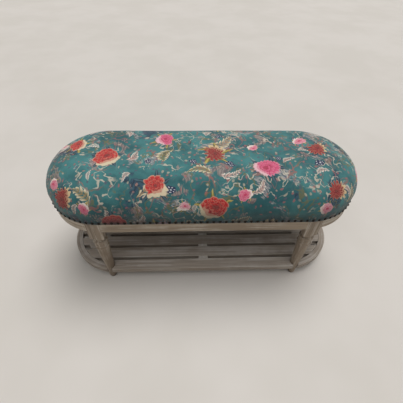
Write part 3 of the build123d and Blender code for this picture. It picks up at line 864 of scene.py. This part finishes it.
def wood(name, turn=(0, 0, 0), bent=False, tones=WASHED, side_shade_share=0.0):
    """Wooden finish with its grain along X before the turn, or round the bench's ends where it is bent.

    Where a share for the sides is given, faces that don't look up are darker by it: painted shade on the
    sides.
    """
    made, tree, shader = finish_of(name)
    where = object_place(tree)
    if bent:
        where = use(tree, unrolled, {"Place": where})["Place"]
    where = put(tree, "ShaderNodeMapping", {"Vector": where, "Rotation": turn}).outputs[0]
    board = put(tree, "ShaderNodeAttribute", attribute_name="board").outputs["Fac"]
    dark, mid, pale = tones
    look = use(tree, grain, {"Place": where, "Board": board, "Dark": dark, "Mid": mid, "Pale": pale})
    colour = look["Color"]
    # Painted shade: faces that don't look up are darkened
    if side_shade_share:
        upward = parted(tree, put(tree, "ShaderNodeNewGeometry").outputs["True Normal"])["Z"]
        colour = mixed(tree, part_step(tree, side_shade_share, upward, 0.9, 0.2), colour, SIDE_SHADE_TONE)
    tree.links.new(colour, shader.inputs["Base Color"])
    tree.links.new(look["Rough"], shader.inputs["Roughness"])
    ridges = put(tree, "ShaderNodeBump", {"Height": look["Height"], "Strength": 0.25, "Distance": 0.0006})
    tree.links.new(ridges.outputs[0], shader.inputs["Normal"])
    shader.inputs["Specular IOR Level"].default_value = 0.3
    return made


def mottled(name, first, second, scale, rough, metal=0.0):
    """Plain finish whose colour wanders between two tones."""
    made, tree, shader = finish_of(name)
    value = noise(tree, object_place(tree), scale, 3.0, 0.6)
    tree.links.new(mixed(tree, step(tree, value, 0.35, 0.65), first, second), shader.inputs["Base Color"])
    shader.inputs["Roughness"].default_value = rough
    shader.inputs["Metallic"].default_value = metal
    return made


def dress(piece, slot, *finishes):
    """Give a piece its finishes. The slot is not used."""
    piece.data.materials.clear()
    for finish in finishes:
        piece.data.materials.append(finish)


# Washed boards: title, way of the grain, tones of faces and edges, and the pieces
UPRIGHT = (0, pi / 2, 0)
ACROSS = (0, 0, pi / 2)
# Shelf pieces take painted shade on their sides
SHELF = {"side_shade_share": 0.45}
CORNERS = ("front_left", "front_right", "rear_left", "rear_right")
SLATS = [f"shelf_slat_{number}" for number in range(1, 6)]
BOARDS = (
    ("rails", {}, (WASHED, WORN), ["front_rail", "rear_rail"]),
    ("end rails", {"bent": True}, (WASHED, WORN), ["left_end_rail", "right_end_rail"]),
    ("legs", {"turn": UPRIGHT}, (SHADED_LEG_TONES, SHADED_LEG_EDGE), [f"{corner}_leg" for corner in CORNERS]),
    ("shelf boards", SHELF, (LIT_SHELF_TONES, LIT_SHELF_EDGE), ["front_stretcher", "rear_stretcher", *SLATS]),
    ("shelf rims", {"bent": True, **SHELF}, (LIT_SHELF_TONES, LIT_SHELF_EDGE), ["left_shelf_rim", "right_shelf_rim"]),
    ("middle batten", {"turn": ACROSS, **SHELF}, (LUG_TONES, LUG_TONES), ["centre_batten"]),
    ("side battens", {"turn": ACROSS}, (WASHED, WORN), ["left_batten", "right_batten"]),
)

board = 0
for title, way, (face_tones, edge_tones), names in BOARDS:
    face = wood(f"washed wood of the {title}", tones=face_tones, **way)
    edge = wood(f"worn edges of the {title}", tones=edge_tones, **way)
    for name in names:
        dress(eased(name, float(board)), "washed_wood", face, edge)
        board += 1

# Hidden wood
for name in ("left_brace", "right_brace"):
    dress(nodes[name], "raw_wood", wood(f"raw wood of the {name.replace('_', ' ')}", turn=ACROSS, tones=RAW))
dress(nodes["shelf_dowels"], "raw_wood", wood("raw wood of the dowels", tones=RAW))
dress(nodes["seat_board"], "plywood", wood("plywood", tones=PLY))

# Hidden pieces of one plain finish: node, slot, finish, two tones, scale and roughness
PLAIN = (
    ("foot_glides", "glide_plastic", "glide plastic", rgb(34, 30, 28), rgb(46, 42, 38), 90.0, 0.5),
    ("seat_foam", "foam", "foam", rgb(226, 208, 150), rgb(236, 220, 168), 400.0, 0.95),
    ("wadding", "wadding_fibre", "wadding", rgb(236, 234, 228), rgb(246, 244, 240), 120.0, 0.95),
    ("dust_cover", "dust_cloth", "dust cloth", rgb(30, 29, 28), rgb(44, 43, 41), 700.0, 0.95),
)
for name, slot, *look in PLAIN:
    dress(nodes[name], slot, mottled(*look))

steel = mottled("screw steel", rgb(150, 148, 142), rgb(176, 174, 168), scale=300.0, rough=0.35, metal=1.0)
for name in ("board_screws", "shelf_screws"):
    dress(nodes[name], "screw_steel", steel)

# Upholstery
cover = padded_cover()
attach(cover, "root")
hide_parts("seat_cover")
dress(cover, "printed_fabric", printed_cloth())

brass = mottled("blackened brass", rgb(18, 16, 15), rgb(40, 34, 28), scale=260.0, rough=0.42, metal=0.8)
nails = nail_heads()
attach(nails, "root")
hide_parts("upholstery_nails")
dress(nails, "nail_metal", brass)

# Floor, light and camera

FLOOR_HALF = 9.0
ZENITH, HORIZON, BEHIND = 2.0, 0.03, 0.85
DIM_FROM, DIM_TO = -0.5, 0.15
SKY, BACKDROP = (1.0, 0.98, 0.96, 1), (0.86, 0.85, 0.83, 1)
TOWARDS_LAMP = Vector((0.20, 0.28, 0.94))
EYE = (-0.048298, -0.852733, 1.120442)
YAW, PITCH, ROLL = radians(2.8854), radians(45.5282), radians(1.3998)
FOCAL_LENGTH, SENSOR_WIDTH = 25.6515, 36


def pale_floor():
    """Plain square floor."""
    corners = np.array([[-1, -1, 0], [1, -1, 0], [1, 1, 0], [-1, 1, 0]]) * FLOOR_HALF
    floor = surface("floor", corners, np.array([[0, 1, 2, 3]]))
    floor.data.materials.append(mottled("pale floor", rgb(216, 212, 206), rgb(222, 218, 213), 1.5, 0.7))


def studio():
    """Sky light that fades from the zenith to the horizon, and a pale backdrop past the floor.

    Its strength follows the cube of the height above the horizon, dimmed behind the bench by a smooth
    step. Only the camera, reflections and rays through clear pieces see the backdrop.
    """
    world = bpy.data.worlds.new("studio")
    world.use_nodes = True
    tree = world.node_tree
    light = tree.nodes["Background"]
    light.inputs["Color"].default_value = SKY
    way = parted(tree, put(tree, "ShaderNodeTexCoord").outputs["Generated"])
    height = calc(tree, "POWER", calc(tree, "MAXIMUM", way["Z"], 0.0), 3.0)
    strength = calc(tree, "MULTIPLY_ADD", height, ZENITH - HORIZON, HORIZON)
    dim = calc(tree, "MULTIPLY_ADD", step(tree, way["Y"], DIM_FROM, DIM_TO), -BEHIND, 1.0)
    tree.links.new(calc(tree, "MULTIPLY", strength, dim), light.inputs["Strength"])
    backdrop = put(tree, "ShaderNodeBackground", {"Color": BACKDROP, "Strength": 1.0})
    rays = put(tree, "ShaderNodeLightPath").outputs
    seen = calc(tree, "ADD", rays["Is Camera Ray"], rays["Is Glossy Ray"])
    seen = calc(tree, "MINIMUM", calc(tree, "ADD", seen, rays["Is Transmission Ray"]), 1.0)
    both = put(tree, "ShaderNodeMixShader", {0: seen, 1: light.outputs[0], 2: backdrop.outputs[0]})
    tree.links.new(both.outputs[0], tree.nodes["World Output"].inputs["Surface"])
    bpy.context.scene.world = world


def ceiling_lamp():
    """Broad lamp high above the bench, a little behind it and to its right."""
    lamp = bpy.data.lights.new("broad ceiling lamp", "SUN")
    lamp.energy = 1.7
    lamp.angle = radians(38)
    lamp.color = (1.0, 0.975, 0.945)
    ceiling = bpy.data.objects.new("broad ceiling lamp", lamp)
    bpy.context.scene.collection.objects.link(ceiling)
    ceiling.rotation_euler = (-TOWARDS_LAMP).to_track_quat("-Z", "Y").to_euler()


def viewpoint():
    """Camera at the eye, turned right by the yaw, down by the pitch and then rolled about its own axis."""
    forward = Vector((sin(YAW) * cos(PITCH), cos(YAW) * cos(PITCH), -sin(PITCH)))
    level = Vector((cos(YAW), -sin(YAW), 0))
    right = cos(ROLL) * level + sin(ROLL) * level.cross(forward)
    up = right.cross(forward)
    lens = bpy.data.cameras.new("camera")
    lens.sensor_width = SENSOR_WIDTH
    lens.lens = FOCAL_LENGTH
    camera = bpy.data.objects.new("camera", lens)
    bpy.context.scene.collection.objects.link(camera)
    turn = Matrix((right, up, -forward)).transposed()
    camera.matrix_world = Matrix.Translation(EYE) @ turn.to_4x4()
    bpy.context.scene.camera = camera


pale_floor()
studio()
ceiling_lamp()
viewpoint()
bpy.context.scene.view_settings.view_transform = "Standard"
